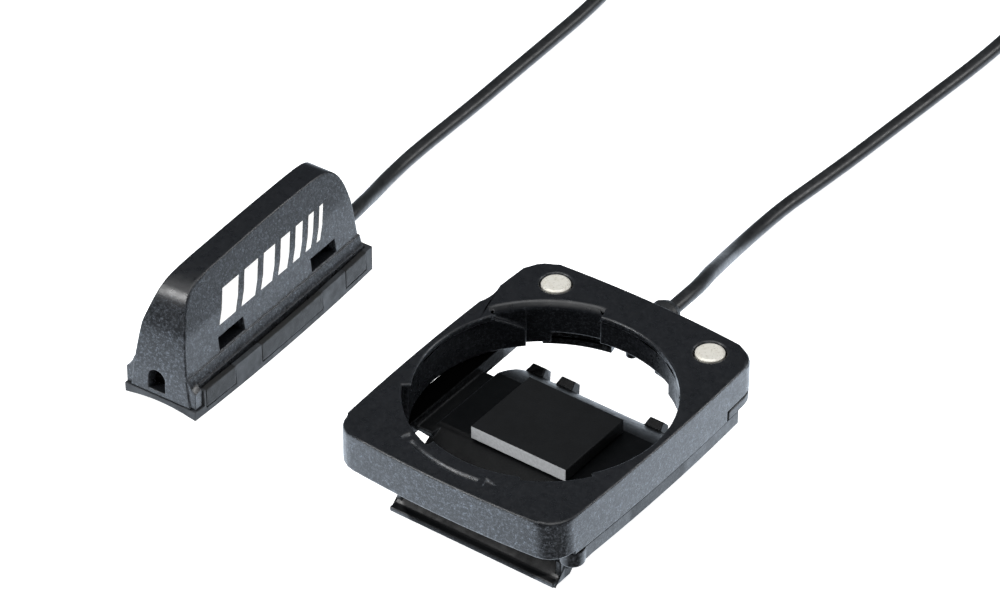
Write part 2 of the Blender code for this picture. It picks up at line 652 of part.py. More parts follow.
def make_foot(parent, plastic, rubber):
    """The hard foot plate with its six tabs, and the rubber pad around it."""
    pad = add("sensor_pad", to_mesh("sensor_pad", prism(boat_outline(), 0.0, BASE_HEIGHT)), rubber, parent)
    boolean(pad, underside_arch(-PAST_SENSOR, PAST_SENSOR), "pad_arch")
    boolean(pad, prism(boat_outline(RIM), RECESS, ABOVE_FOOT), "pad_recess")
    boolean(pad, block((-PLATE_HALF - GAP, PLATE_HALF + GAP), (-PLATE_V[1] - GAP, PLATE_V[1] + GAP),
                       (PLATE_Z[0] - GAP, ABOVE_FOOT)), "plate_seat")
    wall_seat = block((-7, 7), (-PAST_SENSOR, NEAR_WALL + GAP), (NEAR_BOTTOM - GAP, ABOVE_FOOT))
    boolean(pad, wall_seat, "near_wall_seat")
    for k, cut in enumerate(tab_blocks(GAP)):
        boolean(pad, cut, f"tab_seat_{k}")
    notch = turned([(0, 18.0), (2.1, 18.0), (2.1, 22.0), (0, 22.0)], 20, "Y")
    bmesh.ops.translate(notch, vec=(0, 0, SENSOR_GLAND_Z), verts=notch.verts)
    boolean(pad, notch, "gland_notch")
    plate_mesh = to_mesh("sensor_foot_plate", block((-PLATE_HALF, PLATE_HALF), PLATE_V, PLATE_Z))
    plate = add("sensor_foot_plate", plate_mesh, plastic, parent)
    for k, tab in enumerate(tab_blocks(0.0)):
        trimmed = bpy.data.objects.new(f"union_tab_{k}", to_mesh("tab", tab))
        bpy.context.collection.objects.link(trimmed)
        trimmed.parent = parent
        trimmed.hide_render = True
        trimmed.display_type = "WIRE"
        boolean(trimmed, prism(boat_outline(-0.05), 0.0, ABOVE_FOOT), f"tab_limit_{k}", "INTERSECT")
        step = plate.modifiers.new(f"tab_{k}", "BOOLEAN")
        step.operation = "UNION"
        step.solver = "EXACT"
        step.object = trimmed
    boolean(plate, prism(boat_outline(RIM), RECESS - 0.15, ABOVE_FOOT), "plate_recess")
    return pad, plate


def body_profile(steps=3):
    """The sensor body seen from the side, in (v, height): a steep near end, a long crest, a round far end."""
    curve = catmull([Vector(mark) for mark in BODY_CREST], steps)
    return [(-20.9, NEAR_BOTTOM)] + [tuple(point) for point in curve] + [(19.9, SKIRT_BOTTOM)]


def body_half_width(height):
    """Half the sensor body's width: nearly upright flanks that lean in above the crease."""
    if height < CREASE:
        return FLANK_HALF - FLANK_LEAN * (height - SKIRT_BOTTOM)
    return FLANK_HALF - FLANK_LEAN * (CREASE - SKIRT_BOTTOM) - UPPER_LEAN * (height - CREASE)


def body_shell():
    """The sensor body as one strip over its profile and two flat flanks on each side, edges rounded."""
    profile = body_profile()
    rise = next(i for i, (v, h) in enumerate(profile) if h > CREASE)
    fall = max(i for i, (v, h) in enumerate(profile) if h > CREASE) + 1
    for index, (below, above) in ((fall, (fall, fall - 1)), (rise, (rise - 1, rise))):
        (v0, h0), (v1, h1) = profile[below], profile[above]
        t = (CREASE - h0) / (h1 - h0)
        profile.insert(index, (v0 + (v1 - v0) * t, CREASE))
    fall += 1
    bm = bmesh.new()
    rows = {side: [bm.verts.new((side * body_half_width(h), v, h)) for v, h in profile] for side in (-1, 1)}
    left, right = rows[-1], rows[1]
    for i in range(len(profile) - 1):
        bm.faces.new((left[i], left[i + 1], right[i + 1], right[i]))
    bm.faces.new((left[0], right[0], right[-1], left[-1]))
    for row in (left, right):
        bm.faces.new(row[rise:fall + 1])
        bm.faces.new(row[:rise + 1] + row[fall:])
    crest = [bm.edges.get((row[i], row[i + 1])) for row in (left, right) for i in range(len(profile) - 1)]
    bmesh.ops.recalc_face_normals(bm, faces=bm.faces)
    bmesh.ops.bevel(bm, geom=crest, offset=EDGE_RADIUS, offset_type="OFFSET", segments=3, profile=0.5,
                    affect="EDGES", clamp_overlap=True)
    return bm


def both_sides(profile, span):
    """A bmesh of a section, given for the right half as (u, height), run along v between two ends."""
    return prism(list(profile) + [(-u, h) for u, h in reversed(profile)], *span, "XZY")


def make_sensor_housing(parent, finish):
    """The slim sensor body with its skirt, hollow inside, with two tie slots."""
    piece = add("sensor_housing", to_mesh("sensor_housing", body_shell()), finish, parent)
    boolean(piece, both_sides(SKIRT, SKIRT_V), "skirt", "UNION")
    boolean(piece, block((-8, 8), (NEAR_WALL, PAST_SENSOR), (0, SKIRT_BOTTOM)), "underside")
    boolean(piece, both_sides(WING, WING_V), "near_wings", "UNION")
    boolean(piece, underside_arch(-22, -18), "near_arch")
    boolean(piece, prism([(-5.3, 2.0), (-5.3, 17.6), (7.9, 18.0), (7.9, 2.0)], -2.0, 2.0, "YZX"), "cavity")
    boolean(piece, block((-1.3, 1.3), (7.0, 17.2), (2.0, 5.4)), "wire_groove")
    u, h, radius = DRAIN
    drain = arc(radius, 0, 180, 12, (u, h)) + [(u - radius, h - 2.05), (u + radius, h - 2.05)]
    boolean(piece, prism(drain, -22.0, -16.0, "XZY"), "drain")
    for k, v in enumerate(SLOT_V):
        wide, high = SLOT_SIZE
        slot = block((-8, 8), (v - wide / 2, v + wide / 2),
                     (SLOT_HEIGHT - high / 2, SLOT_HEIGHT + high / 2))
        boolean(piece, slot, f"tie_slot_{k}")
    bore = turned([(0, 15.5), (1.6, 15.5), (1.6, 22.0), (0, 22.0)], 20, "Y")
    bmesh.ops.translate(bore, vec=(0, 0, SENSOR_GLAND_Z), verts=bore.verts)
    boolean(piece, bore, "gland_bore")
    return piece


def make_sensor_insides(parent, glass, metal, board, wires):
    """The reed switch on its carrier, and the two wires to the cable."""
    capsule = [(0.75, -5.2), (1.05, -4.9), (1.05, 4.9), (0.75, 5.2), (0.6, 5.2), (0.6, -5.2)]
    place = (0.0, 1.3, REED_Z)
    add("reed_glass", to_mesh("reed_glass", turned(capsule, 16, "Y")), glass, parent, place)
    for name, z, near, far in (("near", 0.16, -6.2, 0.9), ("far", -0.42, -0.9, 6.2)):
        blade = block((-0.35, 0.35), (near, far), (z, z + 0.26))
        add(f"reed_blade_{name}", to_mesh("blade", blade), metal, parent, place)
    carrier = block((-1.85, 1.85), (-4.9, 7.5), (REED_Z - 2.2, REED_Z - 1.4))
    add("reed_carrier", to_mesh("reed_carrier", carrier), board, parent)
    for side, name, v in ((-1, "left", -4.4), (1, "right", 7.0)):
        u = side * 0.65
        points = [(u, 15.1, 4.5), (u, 12.0, 4.5), (u, 9.0, 4.5), (u, 7.4, 4.6), (u, 6.6, 5.4), (u, 6.0, 7.0),
                  (u, 5.0, 8.6), (u, 1.5, 9.4), (u, -1.0, 9.5)]
        if v > 0:
            points = points[:6] + [(u, 5.7, 8.4), (u, 5.6, 9.6)]
        tube(f"sensor_wire_{name}", points, WIRE_RADIUS - 0.05, wires[name], parent)


def make_sensor_gland(parent, finish):
    """The grommet where the cable enters the sensor."""
    profile = [(0, 16.2), (1.3, 16.2), (1.3, 20.55), (1.75, 20.55), (1.75, 21.2), (1.4, 21.55), (0, 21.55)]
    mesh = to_mesh("sensor_gland", turned(profile, 24, "Y"))
    return add("sensor_gland", mesh, finish, parent, (0.0, 0.0, SENSOR_GLAND_Z))


def make_cable(finish, strap):
    """The cable's two free runs, its coil and the tie around the coil."""
    tube("cable_bracket_run", smooth_path(BRACKET_ROUTE, 2.6), CABLE_RADIUS, finish)
    tube("cable_sensor_run", smooth_path(SENSOR_ROUTE, 2.6), CABLE_RADIUS, finish)
    wide, high = COIL_SECTION
    inner, outer = COIL_MEAN - wide / 2, COIL_MEAN + wide / 2
    low, top, soft = COIL_LIFT, COIL_LIFT + high, 1.2
    ring = [(outer - soft, low), (outer, low + soft), (outer, top - soft), (outer - soft, top),
            (inner + soft, top), (inner, top - soft), (inner, low + soft), (inner + soft, low)]
    place = (*COIL_AT, 0.0)
    add("cable_coil", to_mesh("cable_coil", turned(ring, 40)), finish, None, place)
    x_in, x_out = sqrt(inner ** 2 - (TIE_WIDTH / 2) ** 2) - GAP, outer + GAP
    z_in, z_out = low - GAP, top + GAP
    x_low, x_high = x_in - TIE_THICKNESS, x_out + TIE_THICKNESS
    z_low, z_high = z_in - TIE_THICKNESS, z_out + TIE_THICKNESS
    band = prism([(x_low, z_low), (x_high, z_low), (x_high, z_high), (x_low, z_high)],
                 -TIE_WIDTH / 2, TIE_WIDTH / 2, "XZY")
    piece = add("coil_tie", to_mesh("coil_tie", band), strap)
    window = prism([(x_in, z_in), (x_out, z_in), (x_out, z_out), (x_in, z_out)],
                   -TIE_WIDTH, TIE_WIDTH, "XZY")
    boolean(piece, window, "tie_window")
    cutter = bpy.data.objects["difference_tie_window"]
    for moved in (piece, cutter):
        moved.location = Vector(place) * MM
        moved.rotation_euler.z = radians(-40)


def build():
    clear_scene()
    moulded = material("moulded_black", (0.018, 0.019, 0.021), 0.5)
    lower = material("moulded_black_lower", (0.016, 0.017, 0.018), 0.55)
    rubber = material("black_rubber", (0.022, 0.022, 0.024), 0.8)
    nickel = material("nickel", (0.78, 0.76, 0.70), 0.3, 1.0)
    brass = material("tinned_brass", (0.70, 0.66, 0.55), 0.35, 1.0)
    glass = material("reed_glass", (0.55, 0.65, 0.62), 0.1)
    board = material("carrier_board", (0.05, 0.22, 0.10), 0.6)
    sheath = material("cable_sheath", (0.02, 0.02, 0.022), 0.45)
    strap = material("coil_strap", (0.03, 0.03, 0.03), 0.7)
    wires = {"left": material("wire_white", (0.75, 0.75, 0.72), 0.5),
             "right": material("wire_red", (0.45, 0.03, 0.03), 0.5)}
    bracket = origin("bracket_origin", BRACKET_AT)
    sensor = origin("sensor_origin", SENSOR_AT, SENSOR_TURN)
    make_frame(bracket, moulded)
    make_rear_cover(bracket, lower)
    make_saddle(bracket, lower)
    make_liner(bracket, rubber)
    make_pad(bracket, rubber)
    for side, name in ((-1, "left"), (1, "right")):
        make_contact(side, name, bracket, nickel, rubber, brass)
    make_bracket_wires(bracket, wires)
    make_gland(bracket, rubber)
    make_sensor_housing(sensor, moulded)
    make_foot(sensor, lower, rubber)
    make_sensor_insides(sensor, glass, brass, board, wires)
    make_sensor_gland(sensor, rubber)
    make_cable(sheath, strap)


build()
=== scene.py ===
"""Looks of the cycling computer's dock kit: bracket, speed sensor and cable."""
import json
from math import cos, radians, sin

import bmesh
import bpy
from mathutils import Matrix, Vector


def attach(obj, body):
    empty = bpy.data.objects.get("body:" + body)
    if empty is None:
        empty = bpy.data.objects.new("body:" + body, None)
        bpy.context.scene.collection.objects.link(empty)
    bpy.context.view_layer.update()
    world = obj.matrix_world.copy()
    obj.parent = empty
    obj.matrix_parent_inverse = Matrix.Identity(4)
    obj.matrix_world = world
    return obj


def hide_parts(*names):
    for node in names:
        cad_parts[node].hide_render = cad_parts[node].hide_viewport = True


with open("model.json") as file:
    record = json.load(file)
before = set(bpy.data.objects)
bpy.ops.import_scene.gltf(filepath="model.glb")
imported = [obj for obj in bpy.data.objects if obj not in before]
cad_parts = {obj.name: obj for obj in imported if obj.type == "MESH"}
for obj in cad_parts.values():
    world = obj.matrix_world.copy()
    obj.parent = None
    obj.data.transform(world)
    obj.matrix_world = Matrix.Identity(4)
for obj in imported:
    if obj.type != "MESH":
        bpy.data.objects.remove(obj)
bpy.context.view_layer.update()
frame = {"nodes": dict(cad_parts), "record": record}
MM = 0.001
ROOT = "dock_kit"

# ---------------------------------------------------------------- camera

CAMERA_AZIMUTH = radians(36.5)
CAMERA_ELEVATION = radians(37.68)
CAMERA_DISTANCE = 0.821
CAMERA_TARGET = Vector((3.96, 10.32, 16.9)) * MM
CAMERA_LENS = 216.0
CAMERA_SENSOR = 36.0
CAMERA_CLIP = (0.05, 20.0)


def make_camera():
    """The camera fitted to the photo: a long lens from a distance."""
    back = Vector((sin(CAMERA_AZIMUTH) * cos(CAMERA_ELEVATION),
                   -cos(CAMERA_AZIMUTH) * cos(CAMERA_ELEVATION), sin(CAMERA_ELEVATION)))
    data = bpy.data.cameras.new("camera")
    data.lens = CAMERA_LENS
    data.sensor_width = CAMERA_SENSOR
    data.clip_start, data.clip_end = CAMERA_CLIP
    camera = bpy.data.objects.new("camera", data)
    bpy.context.collection.objects.link(camera)
    camera.location = CAMERA_TARGET + back * CAMERA_DISTANCE
    camera.rotation_euler = back.to_track_quat("Z", "Y").to_euler()
    bpy.context.scene.camera = camera


# ---------------------------------------------------------------- cable

# Millimetres and degrees, but CABLE_LENGTH in metres and COIL_PAST_LAST in steps.
CABLE_RADIUS = 1.1
CABLE_SPACING = 2.2
CABLE_OFF_FLOOR = 0.03
CURVE_SAMPLES = 24
COIL_AT = (-26.98, 138.0)
COIL_MEAN = 12.0
COIL_RINGS = 4
COIL_SLOT = 2.35
COIL_LAYERS = (2.05, 4.3)
COIL_TURNS = 8
COIL_START = 90
COIL_STEP = 10
COIL_PAST_LAST = 10
SHIFT_WIDTH = 25.0
SHIFT_FIRST = 335.0
GLAND_MOUTH = (21.8, 25.2, 13.8)
SENSOR_MOUTH = (-34.04, 22.6, 4.95)
BRACKET_ROUTE = (
    (21.8, 26.07, 13.8), (21.7, 29.27, 13.7), (21.15, 33.27, 13.0), (19.55, 38.27, 11.3),
    (17.45, 43.77, 8.6), (15.15, 49.27, 5.6), (13.15, 55.27, 3.0), (11.95, 61.77, 1.5),
    (11.75, 68.27, 1.13), (12.35, 76.07, 1.13), (12.95, 84.07, 1.13), (13.45, 93.07, 1.13),
    (14.05, 104.07, 1.13), (14.55, 114.07, 1.13), (14.65, 122.5, 1.13), (14.2, 131.5, 1.13),
    (11.6, 140.6, 1.13), (6.0, 148.2, 1.13), (-2.0, 152.6, 1.2), (-10.5, 153.53, 1.7),
    (-17.3, 153.53, 2.0))
SENSOR_ROUTE = (
    (-34.1, 23.57, 4.95), (-34.25, 26.27, 4.85), (-35.15, 29.87, 4.1), (-36.65, 34.27, 2.6),
    (-37.95, 38.77, 1.6), (-38.75, 43.57, 1.13), (-39.05, 49.07, 1.13), (-39.15, 56.07, 1.13),
    (-39.25, 63.07, 1.13), (-39.55, 72.07, 1.13), (-39.85, 82.07, 1.13), (-40.2, 91.0, 1.13),
    (-41.0, 99.5, 1.13), (-41.8, 107.0, 1.6), (-42.25, 114.5, 3.2), (-42.45, 121.5, 5.4),
    (-42.5, 127.5, 6.8), (-42.5, 133.0, 6.95), (-42.5, 138.0, 6.95))


def even_path(points):
    """Even points along a Catmull-Rom curve through a route's own points."""
    route = [Vector(p) for p in points]
    route = [2 * route[0] - route[1]] + route + [2 * route[-1] - route[-2]]
    fine = []
    for a, b, c, d in zip(route, route[1:], route[2:], route[3:]):
        for i in range(CURVE_SAMPLES):
            t = i / CURVE_SAMPLES
            fine.append(0.5 * (2 * b + (c - a) * t + (2 * a - 5 * b + 4 * c - d) * t * t
                               + (3 * b - a - 3 * c + d) * t ** 3))
    fine.append(route[-2])
    length = sum((q - p).length for p, q in zip(fine, fine[1:]))
    count = round(length / CABLE_SPACING)
    even, run, target = [fine[0]], 0.0, length / count
    for p, q in zip(fine, fine[1:]):
        step = (q - p).length
        while run + step >= target and len(even) < count:
            even.append(p.lerp(q, (target - run) / step))
            target += length / count
        run += step
    even.append(fine[-1])
    for point in even:
        point.z = max(point.z, CABLE_RADIUS + CABLE_OFF_FLOOR)
    return even


def ease(t):
    """A smooth step from 0 to 1."""
    t = min(max(t, 0.0), 1.0)
    return t * t * (3 - 2 * t)


def coil_points():
    """The turns of the coil, one slot beside or above the other, from the outside in and out."""
    radii = [COIL_MEAN + (i - (COIL_RINGS - 1) / 2) * COIL_SLOT for i in range(COIL_RINGS)]
    slots = [(r, COIL_LAYERS[0]) for r in reversed(radii)] + [(r, COIL_LAYERS[1]) for r in radii]
    slots.append((radii[-1], SENSOR_ROUTE[-1][2]))
    points = []
    for step in range(COIL_TURNS * 360 // COIL_STEP + COIL_PAST_LAST):
        turn, phase = divmod(step * COIL_STEP, 360)
        start = SHIFT_FIRST - SHIFT_WIDTH * (turn + 1)
        t = ease((phase - start) / SHIFT_WIDTH)
        here = slots[turn]
        after = slots[min(turn + 1, COIL_TURNS)]
        radius = here[0] + (after[0] - here[0]) * t
        height = here[1] + (after[1] - here[1]) * t
        angle = radians(COIL_START + step * COIL_STEP)
        x = COIL_AT[0] + radius * cos(angle)
        y = COIL_AT[1] + radius * sin(angle)
        points.append(Vector((x, y, height)))
    return points


def make_cable(material):
    """The whole cable on one line: bracket, coil, sensor."""
    route = [Vector(GLAND_MOUTH)] + even_path(BRACKET_ROUTE)
    route += coil_points()[1:-1]
    route += reversed(even_path(SENSOR_ROUTE))
    route.append(Vector(SENSOR_MOUTH))
    curve = bpy.data.curves.new("cable", "CURVE")
    curve.dimensions = "3D"
    curve.bevel_depth = CABLE_RADIUS * MM
    curve.bevel_resolution = 5
    curve.use_fill_caps = True
    spline = curve.splines.new("POLY")
    spline.points.add(len(route) - 1)
    for target, point in zip(spline.points, route):
        target.co = (*(point * MM), 1.0)
    spline.use_smooth = True
    curve.materials.append(material)
    cable = bpy.data.objects.new("cable", curve)
    bpy.context.collection.objects.link(cable)
    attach(cable, ROOT)
    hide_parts("cable_bracket_run", "cable_coil", "cable_sensor_run")


# ---------------------------------------------------------------- moulded shapes

BODY_OF = {node: body for body, nodes in frame["record"]["behaviour"]["bodies"].items() for node in nodes}
SHARP = radians(30)
WELD = 0.000002
ROUNDING_STEPS = 2
# The most a corner moves out, as a multiple of grow, so that thin tips stay short.
MITRE = 1.45


def moulding(node, finish, radius, grow=0.0):
    """A softer stand-in for a CAD node: edges rounded by radius, sides and top grown, in millimetres."""
    mesh = frame["nodes"][node].data.copy()
    mesh.name = f"{node}_moulding"
    if "custom_normal" in mesh.attributes:
        mesh.attributes.remove(mesh.attributes["custom_normal"])
    bm = bmesh.new()
    bm.from_mesh(mesh)
    bmesh.ops.remove_doubles(bm, verts=bm.verts, dist=WELD)
    bm.normal_update()
    moves = [vert.normal * min(vert.calc_shell_factor(), MITRE) * grow * MM for vert in bm.verts]
    for vert, move in zip(bm.verts, moves):
        vert.co += Vector((move.x, move.y, max(move.z, 0.0)))
    bm.to_mesh(mesh)
    bm.free()
    mesh.shade_smooth()
    mesh.set_sharp_from_angle(angle=SHARP)
    mesh.materials.clear()
    mesh.materials.append(finish)
    piece = bpy.data.objects.new(f"{node}_moulding", mesh)
    bpy.context.collection.objects.link(piece)
    if radius:
        rounding = piece.modifiers.new("rounded_edges", "BEVEL")
        rounding.width = radius * MM
        rounding.segments = ROUNDING_STEPS
        rounding.limit_method = "ANGLE"
        rounding.angle_limit = SHARP
        rounding.use_clamp_overlap = False
        rounding.loop_slide = False
    shading = piece.modifiers.new("even_shading", "WEIGHTED_NORMAL")
    shading.keep_sharp = True
    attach(piece, BODY_OF[node])
    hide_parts(node)


# ---------------------------------------------------------------- materials

# Each pair gives where a mask is 0 and where it is 1; the socket's and the seam's are in metres.
SOCKET_AXIS = (0.0208, -0.00233, 0.0169)
SOCKET_ROUND = (0.0200, 0.0196)
SOCKET_ASIDE = (0.0189, 0.0187)
SOCKET_DEPTH = (-0.0001, -0.0006)
SEAM_HEIGHT = 0.01015
SEAM_AWAY = (0.0004, 0.00022)
SEAM_FROM_X = (-0.012, -0.008)
# Near black, painted into the parting line as shade.
SEAM_PAINTED_SHADE = (0.001, 0.001, 0.001)
UPRIGHT = (0.75, 0.35)
# The range of the edge mask, which carries painted highlights and painted shade on edges.
PAINTED_EDGE_RANGE = (0.995, 0.9)
EDGE_SAMPLES = 6
# Where the pad's front face is painted pale as if lit, by the Y of its normal.
PAD_PAINTED_LIT_FRONT = (-0.4, -0.75)
INNER_GRAIN = 900.0


class Look:
    """A Principled material built from nodes."""

    def __init__(self, name):
        self.material = bpy.data.materials.new(name)
        self.material.use_nodes = True
        self.tree = self.material.node_tree
        self.shader = self.tree.nodes["Principled BSDF"]
        self.place = self.add("TexCoord").outputs["Object"]

    def add(self, kind, settings=(), **inputs):
        """A new node; an input's name is written with _ for a space."""
        node = self.tree.nodes.new("ShaderNode" + kind)
        for key, value in dict(settings).items():
            setattr(node, key, value)
        for key, value in inputs.items():
            self.put(node.inputs[key.replace("_", " ")], value)
        return node

    def put(self, socket, value):
        """Links an output to a socket, or sets the socket to a plain value."""
        if isinstance(value, bpy.types.NodeSocket):
            self.tree.links.new(value, socket)
        else:
            socket.default_value = value

    def noise(self, scale, detail=2.0, roughness=0.5):
        """Soft noise; scale is in waves per metre."""
        node = self.add("TexNoise", Vector=self.place, Scale=scale, Detail=detail, Roughness=roughness)
        return node.outputs["Fac"]

    def cells(self, scale):
        """A flat random tone in each cell; scale is in cells per metre."""
        node = self.add("TexVoronoi", Vector=self.place, Scale=scale)
        split = self.add("SeparateColor", Color=node.outputs["Color"])
        return split.outputs["Red"]

    def span(self, value, low, high, to_low=0.0, to_high=1.0):
        """The value, with low to high mapped to to_low to to_high and held beyond both ends."""
        node = self.add("MapRange", Value=value, From_Min=low, From_Max=high, To_Min=to_low, To_Max=to_high)
        return node.outputs["Result"]

    def math(self, operation, one, two=0.0):
        node = self.add("Math", {"operation": operation})
        self.put(node.inputs[0], one)
        self.put(node.inputs[1], two)
        return node.outputs["Value"]

    def mix(self, factor, one, two):
        node = self.add("Mix", {"data_type": "RGBA"})
        self.put(node.inputs["Factor"], factor)
        for socket, value in ((node.inputs[6], one), (node.inputs[7], two)):
            self.put(socket, value if isinstance(value, bpy.types.NodeSocket) else (*value, 1.0))
        return node.outputs[2]

    def wall(self):
        """1 on upright faces and 0 on level ones."""
        normal = self.add("NewGeometry").outputs["True Normal"]
        level = self.math("ABSOLUTE", self.add("SeparateXYZ", Vector=normal).outputs["Z"])
        return self.span(level, *UPRIGHT)

    def socket(self):
        """1 inside the bracket's round socket and below its mouth, where painted shade takes away most
        glints and the gloss is turned down.
        """
        away = self.add("VectorMath", {"operation": "SUBTRACT"})
        self.put(away.inputs[0], self.place)
        away.inputs[1].default_value = SOCKET_AXIS
        part = self.add("SeparateXYZ", Vector=away.outputs["Vector"])
        squares = [self.math("POWER", part.outputs[axis], 2.0) for axis in ("X", "Y")]
        radius = self.math("SQRT", self.math("ADD", *squares))
        aside = self.math("ABSOLUTE", part.outputs["X"])
        inside = self.math("MULTIPLY", self.span(radius, *SOCKET_ROUND), self.span(aside, *SOCKET_ASIDE))
        return self.math("MULTIPLY", inside, self.span(part.outputs["Z"], *SOCKET_DEPTH))

    def seam(self):
        """1 in the parting line between the bracket's frame and its rails, where shade is painted."""
        part = self.add("SeparateXYZ", Vector=self.place)
        away = self.math("ABSOLUTE", self.math("SUBTRACT", part.outputs["Z"], SEAM_HEIGHT))
        on_bracket = self.span(part.outputs["X"], *SEAM_FROM_X)
        return self.math("MULTIPLY", self.span(away, *SEAM_AWAY), on_bracket)

    def edges(self, radius):
        """A normal rounded by radius in metres, and a mask that is 1 on edges, where painted highlights and
        painted shade go.
        """
        bevel = self.add("Bevel", {"samples": EDGE_SAMPLES}, Radius=radius)
        flat = self.add("NewGeometry").outputs["Normal"]
        dot = self.add("VectorMath", {"operation": "DOT_PRODUCT"})
        self.put(dot.inputs[0], bevel.outputs["Normal"])
        self.put(dot.inputs[1], flat)
        return bevel.outputs["Normal"], self.span(dot.outputs["Value"], *PAINTED_EDGE_RANGE)

    def finish(self, colour, roughness, height=None, depth=0.0, normal=None, **values):
        """Joins it all to the shader; depth is the height of the grain in metres."""
        self.put(self.shader.inputs["Base Color"], colour)
        self.put(self.shader.inputs["Roughness"], roughness)
        for key, value in values.items():
            self.shader.inputs[key.replace("_", " ")].default_value = value
        if height is not None:
            bump = self.add("Bump", Height=height, Distance=depth)
            bump.inputs["Strength"].default_value = 1.0
            if normal is not None:
                self.put(bump.inputs["Normal"], normal)
            self.put(self.shader.inputs["Normal"], bump.outputs["Normal"])
        return self.material


def plastic(name, dark, light, painted_glint_colour, rough, grain_depth):
    """Spark-eroded black moulding: satin faces and upright walls with a coarser grain, with painted glints
    on the walls and painted highlights on the edges.
    """
    look = Look(name)
    normal, painted_edge = look.edges(0.00028)
    wall = look.wall()
    mottle = look.noise(260.0, 4.0)
    coarse = look.span(look.noise(2200.0, 4.0, 0.75), 0.44, 0.70)
    cells = look.span(look.cells(6500.0), 0.1, 1.0)
    socket = look.socket()
    seam = look.seam()
    base = look.mix(mottle, dark, light)
    # Painted glints: bright flecks in the colour, full on upright walls and faint on level faces.
    painted_glint = look.math("MULTIPLY", coarse, cells)
    painted_glint = look.math("MULTIPLY", painted_glint, look.span(wall, 0.0, 1.0, 0.06, 1.0))
    # Painted shade inside the socket: most glints are taken away there.
    painted_glint = look.math("MULTIPLY", painted_glint, look.span(socket, 0.0, 1.0, 1.0, 0.25))
    base = look.mix(painted_glint, base, painted_glint_colour)
    # Painted highlights on the edges, broken up by noise.
    painted_edge_highlight = look.math("MULTIPLY", painted_edge, look.span(look.noise(1200.0, 3.0), 0.35, 0.75, 0.1, 0.6))
    base = look.mix(painted_edge_highlight, base, tuple(0.8 * c for c in painted_glint_colour))
    roughness = look.span(look.noise(900.0, 3.0), 0.3, 0.7, rough - 0.05, rough + 0.07)
    grain = look.math("ADD", look.noise(4200.0, 2.0, 0.6), look.math("MULTIPLY", look.cells(3600.0), 0.4))
    grain = look.math("MULTIPLY", grain, look.span(wall, 0.0, 1.0, 0.35, 1.0))
    shade = look.math("MAXIMUM", look.math("MULTIPLY", socket, 0.8), seam)
    look.put(look.shader.inputs["Specular IOR Level"], look.span(shade, 0.0, 1.0, 0.5, 0.0))
    # Painted shade: the parting line is coloured near black.
    base = look.mix(seam, base, SEAM_PAINTED_SHADE)
    look.put(look.shader.inputs["Metallic"], look.math("MULTIPLY", painted_glint, 0.9))
    return look.finish(base, roughness, grain, grain_depth, normal, IOR=1.5)


def rubber(name, dark, light, rough=0.78):
    """Moulded rubber: matt, finely pitted, a little dusty."""
    look = Look(name)
    normal, painted_edge = look.edges(0.00018)
    dust = look.span(look.noise(420.0, 5.0, 0.65), 0.4, 0.75)
    base = look.mix(dust, dark, light)
    # Painted highlights on the rubber's edges.
    base = look.mix(look.math("MULTIPLY", painted_edge, 0.35), base, tuple(1.7 * c for c in light))
    pits = look.math("ADD", look.noise(3800.0, 3.0, 0.65), look.noise(1400.0, 2.0))
    roughness = look.span(look.noise(600.0, 2.0), 0.3, 0.7, rough - 0.07, rough + 0.07)
    return look.finish(base, roughness, pits, 0.00002, normal, IOR=1.5)


def pad_block(name):
    """The centre pad: dark top and flanks, and a front face painted pale as if lit."""
    look = Look(name)
    normal, painted_edge = look.edges(0.00015)
    facing = look.add("SeparateXYZ", Vector=look.add("NewGeometry").outputs["True Normal"])
    # Painted light: only the front face gets the pale colour, as if the light fell on it alone.
    painted_lit_front = look.span(facing.outputs["Y"], *PAD_PAINTED_LIT_FRONT)
    top = look.mix(look.noise(500.0, 4.0), (0.006, 0.0065, 0.007), (0.010, 0.011, 0.012))
    painted_lit_colour = look.mix(look.noise(2600.0, 3.0, 0.7), (0.22, 0.23, 0.24), (0.52, 0.53, 0.54))
    base = look.mix(painted_lit_front, top, painted_lit_colour)
    # Painted highlights on the pad's edges.
    base = look.mix(look.math("MULTIPLY", painted_edge, 0.4), base, (0.10, 0.105, 0.11))
    grain = look.math("ADD", look.noise(4200.0, 2.0), look.math("MULTIPLY", painted_lit_front, look.noise(1800.0, 3.0)))
    roughness = look.span(look.noise(900.0, 2.0), 0.3, 0.7, 0.55, 0.68)
    return look.finish(base, roughness, grain, 0.000025, normal, Specular_IOR_Level=0.12)


def plated(name, colour, stain, metallic, rough):
    """A plated contact: pale, dull and finely speckled."""
    look = Look(name)
    normal, painted_edge = look.edges(0.0001)
    cloud = look.span(look.noise(900.0, 4.0, 0.7), 0.42, 0.72)
    specks = look.span(look.cells(5200.0), 0.8, 1.0, 0.0, 0.6)
    base = look.mix(look.math("MULTIPLY", cloud, 0.55), colour, stain)
    base = look.mix(specks, base, tuple(0.8 * c for c in stain))
    # Painted shade: the edges are darkened, as in the shadow gap round a contact.
    base = look.mix(look.math("MULTIPLY", painted_edge, 0.35), base, tuple(0.55 * c for c in stain))
    roughness = look.span(cloud, 0.0, 1.0, rough - 0.08, rough + 0.1)
    return look.finish(base, roughness, look.noise(6000.0, 3.0), 0.000008, normal, Metallic=metallic)


def sheath(name):
    """The cable's soft sheath: satin, with a fine grain and light handling marks."""
    look = Look(name)
    marks = look.span(look.noise(300.0, 5.0, 0.7), 0.45, 0.8)
    base = look.mix(marks, (0.010, 0.011, 0.012), (0.026, 0.028, 0.030))
    grain = look.math("ADD", look.noise(3000.0, 3.0, 0.6), look.noise(900.0, 2.0))
    roughness = look.span(look.noise(1200.0, 3.0), 0.3, 0.7, 0.34, 0.48)
    return look.finish(base, roughness, grain, 0.00001, IOR=1.5)


